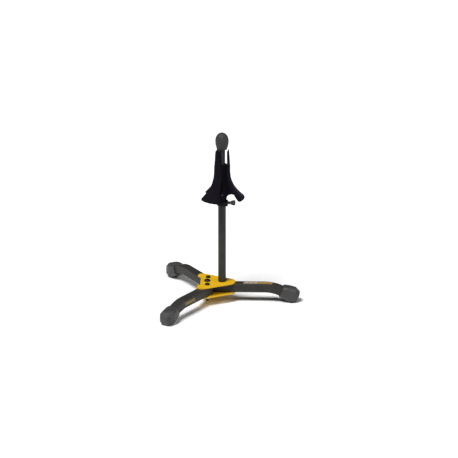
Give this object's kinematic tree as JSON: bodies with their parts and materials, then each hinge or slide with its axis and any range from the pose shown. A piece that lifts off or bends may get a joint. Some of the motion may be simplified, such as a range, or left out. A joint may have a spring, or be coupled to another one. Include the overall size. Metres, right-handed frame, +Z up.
{
  "type": "trumpet stand",
  "caption": "Folding tripod stand with a tube post and a flared, velvet-covered peg that holds a small wind instrument by its bell, and a telescoping rubber head.",
  "frame": {"origin": "On the ground, at the middle of the stand's box in X and Y.", "axes": "+Z up along the post. +X along the fixed leg, away from the two folding legs. The front folding leg is on the -Y side."},
  "size_m": [0.2639, 0.3034, 0.34],
  "materials": {
    "yellow_paint": "gloss powder coat",
    "charcoal_paint": "satin powder coat",
    "rod_paint": "satin",
    "boot_rubber": "matt moulded",
    "head_rubber": "matt moulded",
    "velvet": "short pile",
    "dark_plastic": "moulded",
    "nylon": "moulded",
    "brass": "turned",
    "bright_steel": "zinc plated",
    "black_steel": "black oxide"
  },
  "bodies": {
    "base": {"top_plate": "yellow_paint", "bottom_plate": "yellow_paint", "fixed_leg": "charcoal_paint", "fixed_leg_boot": "boot_rubber", "front_pivot_bolt": "black_steel", "rear_pivot_bolt": "black_steel", "centre_bolt": "black_steel", "front_pivot_nut": "bright_steel", "rear_pivot_nut": "bright_steel", "centre_nut": "bright_steel", "front_pivot_sleeve": "bright_steel", "rear_pivot_sleeve": "bright_steel", "centre_sleeve": "bright_steel", "post_sleeve": "bright_steel", "post_bolt": "bright_steel", "post_washer": "bright_steel", "post_plug": "bright_steel", "post": "charcoal_paint", "clamp_collar": "dark_plastic", "screw_insert": "brass", "peg_hub": "velvet", "hub_screw": "bright_steel", "petal_right": "velvet", "petal_front": "velvet", "petal_rear": "velvet"},
    "front_leg": {"front_leg": "charcoal_paint", "front_leg_boot": "boot_rubber"},
    "rear_leg": {"rear_leg": "charcoal_paint", "rear_leg_boot": "boot_rubber"},
    "head": {"head_rod": "rod_paint", "rubber_head": "head_rubber"},
    "clamp_pad": {"clamp_pad": "nylon"},
    "thumb_screw": {"thumb_screw": "dark_plastic"}
  },
  "joints": [
    {"name": "front_leg_fold", "type": "hinge", "parent": "base", "child": "front_leg", "pos_m": [-0.0455, -0.0206, 0.0286], "axis": [0, 0, 1], "range_deg": [0, 117]},
    {"name": "rear_leg_fold", "type": "hinge", "parent": "base", "child": "rear_leg", "pos_m": [-0.0455, 0.0206, 0.0286], "axis": [0, 0, -1], "range_deg": [0, 117]},
    {"name": "head_height", "type": "slide", "parent": "base", "child": "head", "axis": [0, 0, 1], "range_m": [0, 0.05]},
    {"name": "clamp_pad_travel", "type": "slide", "parent": "base", "child": "clamp_pad", "axis": [1, 0, 0], "range_m": [0, 0.00146]},
    {"name": "thumb_screw_turn", "type": "hinge", "parent": "clamp_pad", "child": "thumb_screw", "pos_m": [-0.0007, 0, 0.1992], "axis": [1, 0, 0], "range_deg": [0, 660]}
  ],
  "couplings": [
    {"joint": "thumb_screw_turn", "follows": "clamp_pad_travel", "rad_per_m": 7854}
  ]
}
